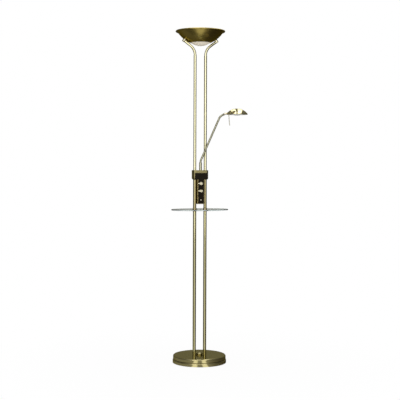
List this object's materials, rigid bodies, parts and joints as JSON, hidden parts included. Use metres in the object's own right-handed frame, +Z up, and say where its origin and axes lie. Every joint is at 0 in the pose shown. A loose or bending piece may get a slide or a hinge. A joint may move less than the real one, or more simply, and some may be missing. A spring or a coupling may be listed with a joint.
{
  "type": "torchiere floor lamp",
  "caption": "Twin-pole torchiere floor lamp in antique brass: uplight bowl, gooseneck reading light, glass shelf, dimmer panel with pointer knobs and round weighted base.",
  "frame": {"origin": "centre of the base's underside, on the floor", "axes": "+Z up along the poles; the two poles stand side by side along X; -Y is the front with the dimmer knobs; the reading arm leans out to +X and forward"},
  "size_m": [0.3877, 0.3162, 1.8],
  "materials": {
    "aged_brass": "polished, lacquered antique brass plating",
    "gooseneck_brass": "fine spiral of satin antique brass",
    "panel_black": "black-brown satin panel",
    "clear_glass": "clear float glass, polished edge",
    "frosted_glass": "satin frosted",
    "lamp_glass": "clear quartz",
    "guard": "clear heat-resistant glass",
    "steel": "zinc-plated",
    "bright_screw": "polished",
    "cast_weight": "rough casting",
    "felt": "pressed felt",
    "ceramic": "steatite ceramic",
    "clear_washer": "clear soft plastic",
    "bush_black": "moulded",
    "board_green": "circuit board",
    "dimmer_black": "moulded case",
    "reflector_silver": "bright anodised"
  },
  "bodies": {
    "stand": {"base_cover": "aged_brass", "centre_boss": "aged_brass", "left_lower_tube": "aged_brass", "right_lower_tube": "aged_brass", "left_middle_tube": "aged_brass", "right_middle_tube": "aged_brass", "left_upper_tube": "aged_brass", "right_upper_tube": "aged_brass", "left_swan_neck": "aged_brass", "right_swan_neck": "aged_brass", "shelf_lower_collars": "aged_brass", "shelf_upper_collars": "aged_brass", "junction_block": "aged_brass", "junction_lid": "aged_brass", "control_housing": "aged_brass", "uplight_bowl": "aged_brass", "left_bowl_knuckle": "aged_brass", "right_bowl_knuckle": "aged_brass", "arm_sleeve": "aged_brass", "control_fascia": "panel_black", "glass_shelf": "clear_glass", "glass_dish": "frosted_glass", "halogen_lamp": "lamp_glass", "guard_glass": "guard", "base_plate": "steel", "foot_plugs": "steel", "foot_nipples": "steel", "foot_washers": "steel", "foot_nuts": "steel", "shelf_nipples": "steel", "tube_set_screws": "steel", "dish_ring": "steel", "bowl_bolts": "steel", "lamp_bracket": "steel", "arm_nut": "steel", "fascia_screw": "bright_screw", "base_weight": "cast_weight", "base_felt": "felt", "lampholders": "ceramic", "shelf_washers": "clear_washer", "cable_bush": "bush_black", "dimmer_board": "board_green", "uplight_dimmer": "dimmer_black", "reading_dimmer": "dimmer_black"},
    "arm_lower": {"gooseneck_lower": "gooseneck_brass"},
    "arm_middle": {"gooseneck_middle": "gooseneck_brass"},
    "arm_upper": {"gooseneck_upper": "gooseneck_brass", "arm_fork": "aged_brass", "tilt_pin": "bright_screw"},
    "head": {"reading_shade": "aged_brass", "lens_ring": "aged_brass", "reading_lens": "frosted_glass", "head_reflector": "reflector_silver", "head_lampholder": "ceramic", "capsule_lamp": "lamp_glass", "aiming_handle": "aged_brass"},
    "uplight_control": {"uplight_shaft": "steel", "uplight_knob": "aged_brass"},
    "reading_control": {"reading_shaft": "steel", "reading_knob": "aged_brass"}
  },
  "joints": [
    {"name": "arm_swivel", "type": "hinge", "parent": "stand", "child": "arm_lower", "pos_m": [0, -0.01, 1.09], "axis": [0, 0, 1], "range_deg": [-125, 5]},
    {"name": "lower_bend", "type": "hinge", "parent": "arm_lower", "child": "arm_middle", "pos_m": [0, -0.01, 1.098], "axis": [0.5, 0.866, 0], "range_deg": [-20, 45]},
    {"name": "upper_bend", "type": "hinge", "parent": "arm_middle", "child": "arm_upper", "pos_m": [0.07468, -0.05311, 1.29167], "axis": [-0.5, -0.866, 0], "range_deg": [-45, 45]},
    {"name": "head_tilt", "type": "hinge", "parent": "arm_upper", "child": "head", "pos_m": [0.11725, -0.0777, 1.35194], "axis": [0.5, 0.866, 0], "range_deg": [-60, 45]},
    {"name": "uplight_knob_turn", "type": "hinge", "parent": "stand", "child": "uplight_control", "pos_m": [0, -0.0246, 0.976], "axis": [0, 1, 0], "range_deg": [0, 270]},
    {"name": "reading_knob_turn", "type": "hinge", "parent": "stand", "child": "reading_control", "pos_m": [0, -0.0246, 0.936], "axis": [0, 1, 0], "range_deg": [0, 270]}
  ]
}
